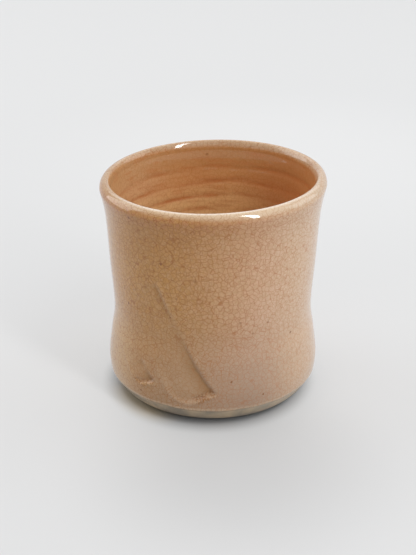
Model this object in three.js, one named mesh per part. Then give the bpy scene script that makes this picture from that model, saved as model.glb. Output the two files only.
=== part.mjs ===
// A wheel-thrown stoneware sake cup: a clay body with a turned foot, a glaze poured inside and a
// glaze that the cup was dipped in, which stops short of the foot. Millimetres, +Z up. The origin
// is where the cup's axis meets the surface that it stands on, and the front faces -Y.
import * as THREE from "three";

// Rim: the crest is the top of the lip, and it slants a little, as a thrown rim does. Its high
// side, like every angle here, is in degrees from the front, towards the right.
const RIM_HEIGHT = 62.7;
const RIM_SLANT = 0.88;
const RIM_HIGH_SIDE_DEG = 117;

// Lip: a long round outside and a tight round inside, each from the crest to the wall.
const LIP_RADIUS = 31;
const LIP_OUTER_REACH = 1.9;
const LIP_OUTER_DROP = 2.4;
const LIP_INNER_REACH = 1.0;
const LIP_INNER_DROP = 0.95;

// Outside of the glaze, from the flare under the lip to the edge where the glaze stops.
const FLARE_RADIUS = 29.7;
const FLARE_DROP = 9.7;
const WAIST_RADIUS = 28;
const WAIST_HEIGHT = 25.5;
const BELLY_RADIUS = 29.9;
const BELLY_HEIGHT = 10.5;
const GLAZE_LINE_RADIUS = 29.6;
const GLAZE_LINE_HEIGHT = 5.3;

// Inside of the glaze: the wall is measured through both coats.
const WALL_AT_FLARE = 3.1;
const WALL_AT_WAIST = 3.8;
const WALL_AT_BELLY = 6.1;
const COVE_RADIUS = 8;
const FLOOR_HEIGHT = 7;
const GLAZE_THICKNESS = 0.5;

// Bare clay at the bottom: a rounded band, the edge where it turns under, and a low foot ring.
const TURN_RADIUS = 25.7;
const BAND_BULGE = 0.4;
const FOOT_RADIUS = 22.5;
const FOOT_WIDTH = 4;
const FOOT_HEIGHT = 1.0;
const FOOT_HOLLOW = 1.6;
const FOOT_DRAFT = 0.6;

// Spatula strokes on the front. Each has one sharp edge, given by the angle and height of its ends,
// and a hollow of this width beside it, which sinks to its depth over the lead.
const STROKES = [
  { start: [-33.5, 40], end: [0, 11.5], width: 10.5, depth: 0.6, lead: 14 },
  { start: [-44.5, 17], end: [-31.5, 11.2], width: 7, depth: 0.45, lead: 4 },
];

// Facets
const SPOKES = 60;
const ROWS_PER_SPAN = 3;
const BAND_ROWS = 3;
const LIP_ROWS = 3;
const COVE_ROWS = 4;

const FRONT_DEG = -90;
const crestRadius = LIP_RADIUS - LIP_OUTER_REACH;
const mouthRadius = crestRadius - LIP_INNER_REACH;
const flareHeight = RIM_HEIGHT - FLARE_DROP;
const insideBaseRadius = BELLY_RADIUS - WALL_AT_BELLY;
const coveHeight = FLOOR_HEIGHT + COVE_RADIUS;
const point = (radius, height) => new THREE.Vector2(radius, height);
const { degToRad, smoothstep } = THREE.MathUtils;

// Where an angle and a height lie on the wall unrolled flat at the waist, from the front.
function unrolled(degrees, height) {
  return point(degToRad(degrees) * WAIST_RADIUS, height);
}

// How deep one spatula stroke is at a place on the unrolled wall.
function strokeDepth(stroke, place) {
  const start = unrolled(...stroke.start);
  const run = unrolled(...stroke.end).sub(start);
  const offset = place.clone().sub(start);
  const length = run.length();
  run.normalize();
  const along = offset.dot(run);
  const across = offset.cross(run);
  const inside = along <= length && across >= 0 && across <= stroke.width;
  const sunk = smoothstep(along, 0, stroke.lead);
  return inside ? stroke.depth * sunk * (1 - across / stroke.width) : 0;
}

// One point of the cup: turned to its angle, pressed in by the strokes, and slanted with the rim.
function placed(radius, height, degrees, pressed) {
  const spot = unrolled(degrees, height);
  const depths = STROKES.map((stroke) => strokeDepth(stroke, spot));
  const pressedRadius = radius - (pressed ? Math.max(...depths) : 0);
  const highSide = Math.cos(degToRad(degrees - RIM_HIGH_SIDE_DEG));
  const share = (height / RIM_HEIGHT) ** 2 * (pressedRadius / LIP_RADIUS);
  const angle = degToRad(FRONT_DEG + degrees);
  return new THREE.Vector3(
    pressedRadius * Math.cos(angle),
    pressedRadius * Math.sin(angle),
    height + RIM_SLANT * highSide * share,
  );
}

// The ring that each profile point makes round the axis.
function rings(profile, pressed = false) {
  return profile.map(({ x: radius, y: height }) => {
    const places = [];
    for (let spoke = 0; spoke < SPOKES; spoke += 1) {
      places.push(placed(radius, height, (360 * spoke) / SPOKES - 180, pressed));
    }
    return { radius, height, places };
  });
}

// Outside wall from the glaze line to the lip, drawn in by an inset.
function outsideProfile(inset) {
  const line = point(GLAZE_LINE_RADIUS - inset, GLAZE_LINE_HEIGHT);
  const belly = point(BELLY_RADIUS - inset, BELLY_HEIGHT);
  const waist = point(WAIST_RADIUS - inset, WAIST_HEIGHT);
  const flare = point(FLARE_RADIUS - inset, flareHeight);
  const lip = point(LIP_RADIUS - inset, RIM_HEIGHT - LIP_OUTER_DROP);
  const belowWaist = belly.clone().lerp(waist, 0.5);
  const aboveWaist = waist.clone().lerp(flare, 0.5);
  const stations = [line, belly, belowWaist, waist, aboveWaist, flare, lip];
  return new THREE.SplineCurve(stations).getPoints((stations.length - 1) * ROWS_PER_SPAN);
}

// Over the lip, from the outside wall's top to the inside wall's top.
function lipProfile(inset) {
  const quarter = (reach, drop, from) =>
    new THREE.EllipseCurve(
      crestRadius,
      RIM_HEIGHT - drop,
      reach - inset,
      drop - inset,
      from,
      from + Math.PI / 2,
    ).getPoints(LIP_ROWS);
  const outer = quarter(LIP_OUTER_REACH, LIP_OUTER_DROP, 0);
  const inner = quarter(LIP_INNER_REACH, LIP_INNER_DROP, Math.PI / 2);
  return [...outer.slice(1), ...inner.slice(1)];
}

// Inside wall below the lip: first down to the lap, where the two coats meet, then the rest of the
// way down, round the cove and across the floor to the axis.
function insideProfiles(inset) {
  const mouth = point(mouthRadius + inset, RIM_HEIGHT - LIP_INNER_DROP);
  const lap = point(FLARE_RADIUS - WALL_AT_FLARE + inset, flareHeight);
  const waist = point(WAIST_RADIUS - WALL_AT_WAIST + inset, WAIST_HEIGHT);
  const base = point(insideBaseRadius + inset, coveHeight);
  const stations = [mouth, lap, waist, base];
  const wall = new THREE.SplineCurve(stations).getPoints((stations.length - 1) * ROWS_PER_SPAN);
  const cove = new THREE.EllipseCurve(
    insideBaseRadius - COVE_RADIUS,
    coveHeight,
    COVE_RADIUS + inset,
    COVE_RADIUS + inset,
    0,
    -Math.PI / 2,
    true,
  ).getPoints(COVE_ROWS);
  return {
    toLap: wall.slice(1, ROWS_PER_SPAN + 1),
    belowLap: [...wall.slice(ROWS_PER_SPAN + 1), ...cove.slice(1), point(0, FLOOR_HEIGHT - inset)],
  };
}

// Underside from the axis, over the foot ring and up the bare band to just below the glaze line.
function undersideProfile() {
  const footInside = FOOT_RADIUS - FOOT_WIDTH;
  const turn = point(TURN_RADIUS, FOOT_HEIGHT);
  const line = point(GLAZE_LINE_RADIUS - GLAZE_THICKNESS, GLAZE_LINE_HEIGHT);
  const chord = line.clone().sub(turn);
  const bulge = point(chord.y, -chord.x).setLength(2 * BAND_BULGE);
  const control = turn.clone().lerp(line, 0.5).add(bulge);
  const band = new THREE.QuadraticBezierCurve(turn, control, line).getPoints(BAND_ROWS);
  return [
    point(0, FOOT_HOLLOW),
    point(footInside - FOOT_DRAFT, FOOT_HOLLOW),
    point(footInside, 0),
    point(FOOT_RADIUS, 0),
    point(FOOT_RADIUS + FOOT_DRAFT, FOOT_HEIGHT),
    ...band.slice(0, -1),
  ];
}

// A mesh whose skin runs from ring to ring. Each facet is cut from its lower corner on one spoke to
// its upper corner on the next, whichever way the skin runs, so that coats lie flush on the clay.
// A ring on the axis is one point.
function skinned(name, skin, color, roughness) {
  const corners = [];
  for (let step = 0; step + 1 < skin.length; step += 1) {
    const here = skin[step];
    const next = skin[step + 1];
    const rising = next.height > here.height || (next.height === here.height && next.radius > here.radius);
    for (let spoke = 0; spoke < SPOKES; spoke += 1) {
      const after = (spoke + 1) % SPOKES;
      const [a, b] = [here.places[spoke], here.places[after]];
      const [d, c] = [next.places[spoke], next.places[after]];
      const triangles = rising ? [[a, b, c], [a, c, d]] : [[a, b, d], [b, c, d]];
      for (const triangle of triangles) {
        const [p, q, r] = triangle;
        const flat = p.equals(q) || q.equals(r) || r.equals(p);
        if (!flat) corners.push(...triangle);
      }
    }
  }
  const geometry = new THREE.BufferGeometry().setFromPoints(corners);
  geometry.computeVertexNormals();
  const material = new THREE.MeshStandardMaterial({ color, roughness, metalness: 0 });
  const mesh = new THREE.Mesh(geometry, material);
  mesh.name = name;
  return mesh;
}

// The clay's own surfaces lie one coat below the glaze.
const clayOutside = rings(outsideProfile(GLAZE_THICKNESS), true);
const clayLip = rings(lipProfile(GLAZE_THICKNESS));
const clayInside = insideProfiles(GLAZE_THICKNESS);
const clayToLap = rings(clayInside.toLap);
const clayBelowLap = rings(clayInside.belowLap);

const glazeOutside = rings(outsideProfile(0), true);
const glazeLip = rings(lipProfile(0));
const glazeInside = insideProfiles(0);
const glazeToLap = rings(glazeInside.toLap);
const glazeBelowLap = rings(glazeInside.belowLap);

const clayUnderDip = [...clayOutside, ...clayLip, ...clayToLap];
const dippedSkin = [...glazeOutside, ...glazeLip, ...glazeToLap];
const clayUnderPour = [clayToLap.at(-1), ...clayBelowLap];
const pouredSkin = [glazeToLap.at(-1), ...glazeBelowLap];

const clayBody = skinned(
  "clay_body",
  [...rings(undersideProfile()), ...clayUnderDip, ...clayBelowLap],
  0x827361,
  0.85,
);
const outerGlaze = skinned(
  "outer_glaze",
  [...dippedSkin, ...clayUnderDip.toReversed(), dippedSkin[0]],
  0x9e7d5f,
  0.2,
);
const innerGlaze = skinned(
  "inner_glaze",
  [...clayUnderPour.toReversed(), ...pouredSkin],
  0xa06e48,
  0.2,
);

const sakeCup = new THREE.Group();
sakeCup.add(clayBody, outerGlaze, innerGlaze);

export default sakeCup;
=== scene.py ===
"""Fine visual model of a hand-thrown stoneware sake cup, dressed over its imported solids.

The clay, the dipped coat and the poured coat are each swept round the throwing axis by Geometry Nodes
from a half section, then pressed, ringed and slanted by the same rules, so that they lie on each other.
Lengths are in metres, +Z is up, the front faces -Y and turns are measured from the front to the right.
"""

from __future__ import annotations

import logging
import math
from collections.abc import Sequence
from dataclasses import dataclass, field
from enum import Enum
from typing import ClassVar

import bpy  # noqa: E402
import numpy as np  # noqa: E402
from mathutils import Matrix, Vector  # noqa: E402


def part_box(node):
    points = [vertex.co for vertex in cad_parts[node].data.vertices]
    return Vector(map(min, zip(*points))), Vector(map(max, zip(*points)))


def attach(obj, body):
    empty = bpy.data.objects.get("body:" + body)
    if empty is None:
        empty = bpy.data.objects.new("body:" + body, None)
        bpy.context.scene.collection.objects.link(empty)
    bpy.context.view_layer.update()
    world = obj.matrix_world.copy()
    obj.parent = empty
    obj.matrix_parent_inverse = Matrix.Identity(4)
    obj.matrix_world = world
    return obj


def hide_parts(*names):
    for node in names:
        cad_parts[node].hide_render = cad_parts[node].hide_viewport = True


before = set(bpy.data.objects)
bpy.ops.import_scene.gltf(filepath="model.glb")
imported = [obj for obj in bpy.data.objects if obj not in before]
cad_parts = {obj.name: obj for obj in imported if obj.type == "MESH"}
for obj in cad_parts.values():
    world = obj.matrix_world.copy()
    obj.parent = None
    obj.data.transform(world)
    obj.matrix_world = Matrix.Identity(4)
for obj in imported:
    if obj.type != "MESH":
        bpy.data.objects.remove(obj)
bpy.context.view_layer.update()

LOG = logging.getLogger("sake_cup")
MM = 0.001
PHOTO_HEIGHT_PX = 555
SPAN_STEPS = 40
ARC_POINTS = 33
Number = "Field | float | tuple[float, ...]"
Colour = tuple[float, float, float, float]


class Skin(Enum):
    """Side of the wall that a section point lies on, as the sweep reads it."""

    OUTSIDE = 1.0
    PLAIN = 0.0
    INSIDE = -1.0


class Slot(Enum):
    """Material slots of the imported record."""

    CLAY = "bare_clay"
    DIPPED = "dipped_glaze"
    POURED = "poured_glaze"


@dataclass(frozen=True)
class Field:
    """A value in a node tree that takes part in sums as a number does."""

    graph: Graph
    socket: bpy.types.NodeSocket

    def __add__(self, other: Number) -> Field:
        """Sum of two values."""
        return self.graph.math("ADD", self, other)

    def __radd__(self, other: Number) -> Field:
        """Sum with a number on the left."""
        return self.graph.math("ADD", other, self)

    def __sub__(self, other: Number) -> Field:
        """Difference of two values."""
        return self.graph.math("SUBTRACT", self, other)

    def __rsub__(self, other: Number) -> Field:
        """Difference with a number on the left."""
        return self.graph.math("SUBTRACT", other, self)

    def __mul__(self, other: Number) -> Field:
        """Product of two values."""
        return self.graph.math("MULTIPLY", self, other)

    def __rmul__(self, other: Number) -> Field:
        """Product with a number on the left."""
        return self.graph.math("MULTIPLY", other, self)

    def __truediv__(self, other: Number) -> Field:
        """Quotient of two values."""
        return self.graph.math("DIVIDE", self, other)


class Graph:
    """A node tree of either kind, written as sums and named nodes."""

    def __init__(self, tree: bpy.types.NodeTree) -> None:
        """Starts writing into a tree.

        Args:
            tree: Geometry or shader tree to write into.
        """
        self.tree = tree

    def node(self, kind: str, settings: dict[str, object] | None = None, **inputs: Number) -> bpy.types.Node:
        """Adds a node.

        Args:
            kind: Blender's name for the node type.
            settings: Properties of the node, by name.
            **inputs: Values for its sockets, with underscores for the spaces in their names.

        Returns:
            The new node.
        """
        made = self.tree.nodes.new(kind)
        for name, value in (settings or {}).items():
            setattr(made, name, value)
        for name, value in inputs.items():
            self.feed(self.socket_named(made, name.replace("_", " ")), value)
        return made

    @staticmethod
    def socket_named(made: bpy.types.Node, name: str) -> bpy.types.NodeSocket:
        """The first live input socket of a node with a name."""
        return next(s for s in made.inputs if s.name == name and s.enabled)

    def feed(self, socket: bpy.types.NodeSocket, value: Number) -> None:
        """Links or sets one input socket.

        Args:
            socket: Input socket.
            value: A field to link, or a plain value to set.
        """
        if isinstance(value, Field):
            self.tree.links.new(value.socket, socket)
        else:
            socket.default_value = value

    def out(self, made: bpy.types.Node, name: str) -> Field:
        """The live output of a node with a name, as a field."""
        return Field(self, next(s for s in made.outputs if s.name == name and s.enabled))

    def math(self, operation: str, *values: Number) -> Field:
        """Adds a maths node.

        Args:
            operation: Blender's name for what it does.
            *values: One to three numbers.

        Returns:
            The result.
        """
        made = self.tree.nodes.new("ShaderNodeMath")
        made.operation = operation
        for socket, value in zip(made.inputs, values):
            self.feed(socket, value)
        return Field(self, made.outputs[0])

    def vector(self, operation: str, *values: Number) -> Field:
        """Adds a vector maths node.

        Args:
            operation: Blender's name for what it does.
            *values: One or two vectors.

        Returns:
            Its first live output, a vector or a number.
        """
        made = self.tree.nodes.new("ShaderNodeVectorMath")
        made.operation = operation
        live = [s for s in made.inputs if s.enabled]
        for socket, value in zip(live, values):
            self.feed(socket, value)
        return Field(self, next(s for s in made.outputs if s.enabled))

    def scaled(self, value: Field, factor: Number) -> Field:
        """A vector times a number."""
        made = self.node("ShaderNodeVectorMath", {"operation": "SCALE"}, Vector=value, Scale=factor)
        return self.out(made, "Vector")

    def highest(self, first: Number, *others: Number) -> Field:
        """The highest of some numbers.

        Args:
            first: The first number.
            *others: The others.

        Returns:
            The highest.
        """
        for other in others:
            first = self.math("MAXIMUM", first, other)
        return first

    def clamped(self, value: Number, high: float = 1.0) -> Field:
        """A value held between 0 and a higher one."""
        return self.math("MINIMUM", self.highest(value, 0.0), high)

    def ease(self, value: Number, low: Number, high: Number) -> Field:
        """A smooth step.

        Args:
            value: What it follows.
            low: Value at which it is 0.
            high: Value at which it is 1, which may be the lower one.

        Returns:
            The step.
        """
        smooth = {"interpolation_type": "SMOOTHSTEP"}
        made = self.node("ShaderNodeMapRange", smooth, Value=value, From_Min=low, From_Max=high)
        return self.out(made, "Result")

    def joined(self, x: Number, y: Number, z: Number) -> Field:
        """A vector of three numbers."""
        return self.out(self.node("ShaderNodeCombineXYZ", X=x, Y=y, Z=z), "Vector")

    def split(self, value: Field) -> tuple[Field, Field, Field]:
        """The three numbers of a vector."""
        made = self.node("ShaderNodeSeparateXYZ", Vector=value)
        return self.out(made, "X"), self.out(made, "Y"), self.out(made, "Z")

    def noise(self, place: Field, grain: float, detail: float = 2.0, output: str = "Fac") -> Field:
        """Soft noise.

        Args:
            place: Where it is read, in metres.
            grain: Size of its lumps in metres.
            detail: Octaves of finer lumps.
            output: "Fac" for a number or "Color" for three.

        Returns:
            The noise, about 0.5 on average.
        """
        made = self.node("ShaderNodeTexNoise", Vector=place, Scale=1.0 / grain, Detail=detail)
        return Field(self, made.outputs[output])

    def blended(self, share: Number, first: Number, second: Number) -> Field:
        """Mixes two colours.

        Args:
            share: Share of the second.
            first: The first colour.
            second: The second colour.

        Returns:
            The colour between them.
        """
        made = self.node("ShaderNodeMix", {"data_type": "RGBA"}, Factor=share)
        colours = [s for s in made.inputs if s.name in "AB" and s.enabled]
        self.feed(colours[0], first)
        self.feed(colours[1], second)
        return self.out(made, "Result")

    def layered(self, colour: Number, *layers: tuple[Number, Number]) -> Field:
        """Lays colours over a first one.

        Args:
            colour: The first colour.
            *layers: Share and colour of each layer, from the lowest.

        Returns:
            The colour that shows.
        """
        for share, layer in layers:
            colour = self.blended(share, colour, layer)
        return colour

    def named(self, attribute: str) -> Field:
        """A number that the sweep stored on the mesh, read in a material."""
        return self.out(self.node("ShaderNodeAttribute", {"attribute_name": attribute}), "Fac")

    def group(self, tree: bpy.types.NodeTree, **inputs: Number) -> bpy.types.Node:
        """Places a node group.

        Args:
            tree: The group.
            **inputs: Its own values, with underscores for the spaces in their names.

        Returns:
            The node.
        """
        kind = "GeometryNodeGroup" if self.tree.type == "GEOMETRY" else "ShaderNodeGroup"
        made = self.tree.nodes.new(kind)
        made.node_tree = tree
        for name, value in inputs.items():
            self.feed(made.inputs[name.replace("_", " ")], value)
        return made


class NodeGroup(Graph):
    """A node group with named inputs and outputs."""

    def __init__(self, name: str, kind: str) -> None:
        """Starts an empty group.

        Args:
            name: Name of the group.
            kind: "GeometryNodeTree" or "ShaderNodeTree".
        """
        super().__init__(bpy.data.node_groups.new(name, kind))
        self.entry = self.tree.nodes.new("NodeGroupInput")
        self.exit = self.tree.nodes.new("NodeGroupOutput")

    def takes(self, name: str, kind: str = "Float", value: object = None) -> Field:
        """Adds a named input.

        Args:
            name: Name of the input.
            kind: Kind of socket, such as "Float", "Vector" or "Material".
            value: Value where nothing is linked.

        Returns:
            The input as a field.
        """
        item = self.tree.interface.new_socket(name, in_out="INPUT", socket_type=f"NodeSocket{kind}")
        if value is not None:
            item.default_value = value
        return Field(self, self.entry.outputs[name])

    def gives(self, name: str, value: Field, kind: str = "Float") -> None:
        """Adds a named output fed by a field."""
        self.tree.interface.new_socket(name, in_out="OUTPUT", socket_type=f"NodeSocket{kind}")
        self.feed(self.exit.inputs[name], value)


@dataclass(frozen=True)
class Share:
    """A share that grows or falls in step with a field."""

    base: float
    gain: float

    def of(self, value: Field) -> Field:
        """The share at a value of the field."""
        return value * self.gain + self.base


@dataclass(frozen=True)
class Ramp:
    """A smooth step from 0 at one value to 1 at another, which may be the lower one."""

    start: float
    end: float

    def of(self, g: Graph, value: Number, unit: Number = 1.0) -> Field:
        """The step of a field, with both values in a unit."""
        return g.ease(value, self.start * unit, self.end * unit)


@dataclass(frozen=True)
class Band:
    """A smooth band between two ramps."""

    first: Ramp
    second: Ramp

    def of(self, g: Graph, value: Number, unit: Number = 1.0) -> Field:
        """The band of a field, with its ramps in a unit."""
        return self.first.of(g, value, unit) * self.second.of(g, value, unit)


def planar(g: Graph, x: Field, y: Field) -> Field:
    """Distance in a plane from where both offsets are 0."""
    return g.math("SQRT", x * x + y * y)


@dataclass(frozen=True)
class Stroke:
    """A spatula stroke: a hollow beside one sharp edge, ending in a torn burr.

    Turns are in degrees and lengths in millimetres.
    """

    start_turn: float
    start_height: float
    end_turn: float
    end_height: float
    width: float
    depth: float
    lead: float
    bow: float
    end_skew: float
    crumb_width: float

    def inputs(self) -> dict[str, float]:
        """The stroke's sizes for its node group.

        Returns:
            The sizes, in radians and metres, by the names of the group's inputs.
        """
        return {
            "Start_Turn": math.radians(self.start_turn),
            "Start_Height": self.start_height * MM,
            "End_Turn": math.radians(self.end_turn),
            "End_Height": self.end_height * MM,
            "Width": self.width * MM,
            "Depth": self.depth * MM,
            "Lead": self.lead * MM,
            "Bow": self.bow * MM,
            "End_Skew": self.end_skew,
            "Crumb_Width": self.crumb_width * MM,
        }


STROKES = (
    Stroke(
        start_turn=-31.6,
        start_height=42.6,
        end_turn=1.2,
        end_height=11.0,
        width=11.2,
        depth=0.90,
        lead=3.0,
        bow=1.05,
        end_skew=0.03,
        crumb_width=6.6,
    ),
    Stroke(
        start_turn=-41.7,
        start_height=17.5,
        end_turn=-31.9,
        end_height=12.1,
        width=6.2,
        depth=0.58,
        lead=1.0,
        bow=0.0,
        end_skew=0.35,
        crumb_width=7.5,
    ),
)


@dataclass(frozen=True)
class StrokePlace:
    """Where a point of the wall lies by a stroke, as fields of the stroke's node group."""

    part: Field
    across: Field
    share: Field
    past: Field
    drawn: Field
    torn: Field
    grit: Field


@dataclass(frozen=True)
class StrokeRule:
    """How any spatula stroke presses the wall.

    Lengths are in metres. Ramps and bands are in shares of the stroke's run or width, or in widths of its
    edge, burr or shade, as the methods say.
    """

    sizes: ClassVar[tuple[str, ...]] = (
        *("Turn", "Height", "Girth", "Start Turn", "Start Height", "End Turn", "End Height"),
        *("Width", "Depth", "Lead", "Bow", "End Skew", "Crumb Width"),
    )
    marks: ClassVar[tuple[str, ...]] = ("Pool", "Shade", "Burr", "Pit", "Crumb")
    edge: float = 1.35 * MM
    burr: float = 1.3 * MM
    grit: float = 0.62 * MM
    shade: float = 4.8 * MM
    bow_along: Share = Share(2.0, 3.4)
    widest: float = 1.2
    corner_power: float = 6.0
    corner_share: float = 0.4
    crumbling: Ramp = Ramp(1.0, 0.7)

    # The hollow, its sharp edge and its end.
    sinking: Ramp = Ramp(0.40, 0.85)
    depth_along: Share = Share(0.30, 0.70)
    blurring: Band = Band(Ramp(0.22, 0.40), Ramp(0.64, 0.46))
    edge_blur: Share = Share(1.0, 1.4)
    begun: Ramp = Ramp(-0.4, 0.6)
    stopped: Ramp = Ramp(0.4, -0.6)
    slope: Ramp = Ramp(1.05, 0.0)
    slope_share: float = 0.75
    far_side: Ramp = Ramp(1.05, 0.85)
    far_share: float = 0.25

    # Burrs, crumbs and pits.
    edge_line: Band = Band(Ramp(-1.0, -0.3), Ramp(0.3, -0.2))
    edge_lost: Ramp = Ramp(0.22, 0.42)
    edge_kept: Share = Share(1.0, -0.88)
    edge_end: Ramp = Ramp(1.0, 0.0)
    edge_rise: float = 0.12
    rim_line: Band = Band(Ramp(0.84, 0.97), Ramp(1.14, 1.0))
    rim_run: Band = Band(Ramp(-7.0, -3.0), Ramp(0.6, 0.0))
    rim_rise: float = 0.15
    end_line: Band = Band(Ramp(-0.3, 0.4), Ramp(1.2, 0.4))
    end_from: Ramp = Ramp(-0.3, 0.3)
    end_to: Ramp = Ramp(1.12, 0.9)
    crumb_grain: Ramp = Ramp(0.40, 0.60)
    crumb_swing: Share = Share(-1.0, 2.0)
    end_rise: Share = Share(0.20, 0.28)
    pit_line: Band = Band(Ramp(-1.1, -0.4), Ramp(0.3, -0.2))
    pit_grain: Ramp = Ramp(0.58, 0.44)
    pit_depth: float = 0.45

    # Where shade is painted beside the edge, with a dark seam line along it, and where the burrs are pale.
    seam: Ramp = Ramp(0.55, 0.1)
    seam_end: Ramp = Ramp(0.42, 0.25)
    seam_share: float = 0.65
    cast: Ramp = Ramp(1.0, 0.0)
    cast_start: Ramp = Ramp(0.35, 0.80)
    edge_pale: float = 0.8
    rim_pale: float = 0.5

    def tree(self) -> bpy.types.NodeTree:
        """Node group for one stroke on the unrolled wall.

        Returns:
            A group that gives how deep the wall is pressed, where glaze pools, where shade is painted, and
            where burrs and pits are.
        """
        g = NodeGroup("Spatula stroke", "GeometryNodeTree")
        size = {name: g.takes(name) for name in self.sizes}
        at = self.place(g, size)
        breadth = self.edge_blur.of(self.blurring.of(g, at.part)) * self.edge
        reached = self.begun.of(g, at.across, breadth) * self.stopped.of(g, at.past, self.edge)
        hollow = self.hollow(g, at) * reached
        edge_burr, rim_burr, end_burr = self.burrs(g, at)
        crumbs = self.crumb_swing.of(self.crumb_grain.of(g, at.grit)) * at.torn
        pit = self.pit_line.of(g, at.past, self.burr) * self.spread(g, at) * at.torn
        raised = edge_burr * self.edge_rise + rim_burr * self.rim_rise + end_burr * self.end_rise.of(crumbs)
        torn_out = pit * self.pit_grain.of(g, at.grit) * self.pit_depth

        # Painted shade: a soft shadow cast beside the edge, and a dark seam line along its start.
        seam = self.seam.of(g, at.across, self.shade) * self.seam_end.of(g, at.part) * at.drawn
        cast = self.cast.of(g, at.across, self.shade) * self.cast_start.of(g, at.part)
        pale = g.highest(edge_burr * self.edge_pale, rim_burr * self.rim_pale, end_burr * (1.0 - at.torn))
        g.gives("Press", (hollow - raised + torn_out) * size["Depth"])
        g.gives("Pool", hollow)
        g.gives("Shade", reached * g.highest(seam * self.seam_share, cast))
        g.gives("Burr", pale)
        g.gives("Pit", pit)
        g.gives("Crumb", end_burr * at.torn)
        return g.tree

    def place(self, g: NodeGroup, size: dict[str, Field]) -> StrokePlace:
        """Finds a point's place by the stroke.

        Args:
            g: The stroke's group.
            size: The group's inputs by name.

        Returns:
            How far it lies along, across and past the end of the stroke, and the grain there.
        """
        start_turn, start_height, girth = size["Start Turn"], size["Start Height"], size["Girth"]
        run = g.joined((size["End Turn"] - start_turn) * girth, size["End Height"] - start_height, 0.0)
        offset = g.joined((size["Turn"] - start_turn) * girth, size["Height"] - start_height, 0.0)
        ahead = g.vector("NORMALIZE", run)
        ahead_x, ahead_y, _ = g.split(ahead)
        whole = g.vector("LENGTH", run)
        along = g.vector("DOT_PRODUCT", offset, ahead)
        part = g.clamped(along / whole)
        bend = part * (1.0 - part) * self.bow_along.of(part) * size["Bow"]
        beyond = g.vector("DOT_PRODUCT", offset, g.joined(ahead_y, ahead_x * -1.0, 0.0))
        across = beyond - bend
        share = g.clamped(beyond / size["Width"], self.widest)
        corner = g.math("POWER", share, self.corner_power) * size["Width"] * self.corner_share
        return StrokePlace(
            part=part,
            across=across,
            share=share,
            past=along - (whole - across * size["End Skew"] - corner),
            drawn=g.ease(along, 0.0, size["Lead"]),
            torn=self.crumbling.of(g, across, size["Crumb Width"]),
            grit=g.noise(g.joined(across, along, 0.0), self.grit, detail=1.0),
        )

    def hollow(self, g: NodeGroup, at: StrokePlace) -> Field:
        """How deep the wall is pressed, before the stroke's edge and end.

        Args:
            g: Tree of the stroke.
            at: Place on the stroke.

        Returns:
            The hollow as a share of the stroke's depth.
        """
        sunk = at.drawn * self.depth_along.of(self.sinking.of(g, at.part))
        slope = self.slope.of(g, at.share) * self.slope_share
        return sunk * (slope + self.far_side.of(g, at.share) * self.far_share)

    def spread(self, g: NodeGroup, at: StrokePlace) -> Field:
        """Where across the stroke its end is, in widths of the burr on one side and shares on the other."""
        return self.end_from.of(g, at.across, self.burr) * self.end_to.of(g, at.share)

    def burrs(self, g: NodeGroup, at: StrokePlace) -> tuple[Field, Field, Field]:
        """The burrs that the spatula raises.

        Args:
            g: Tree of the stroke.
            at: Place on the stroke.

        Returns:
            The burrs along the sharp edge, round the far side and across the end.
        """
        kept = self.edge_kept.of(self.edge_lost.of(g, at.part)) * self.edge_end.of(g, at.past, self.burr)
        edge = at.drawn * self.edge_line.of(g, at.across, self.burr) * kept
        rim = self.rim_line.of(g, at.share) * self.rim_run.of(g, at.past, self.burr)
        return edge, rim, self.end_line.of(g, at.past, self.burr) * self.spread(g, at)


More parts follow.
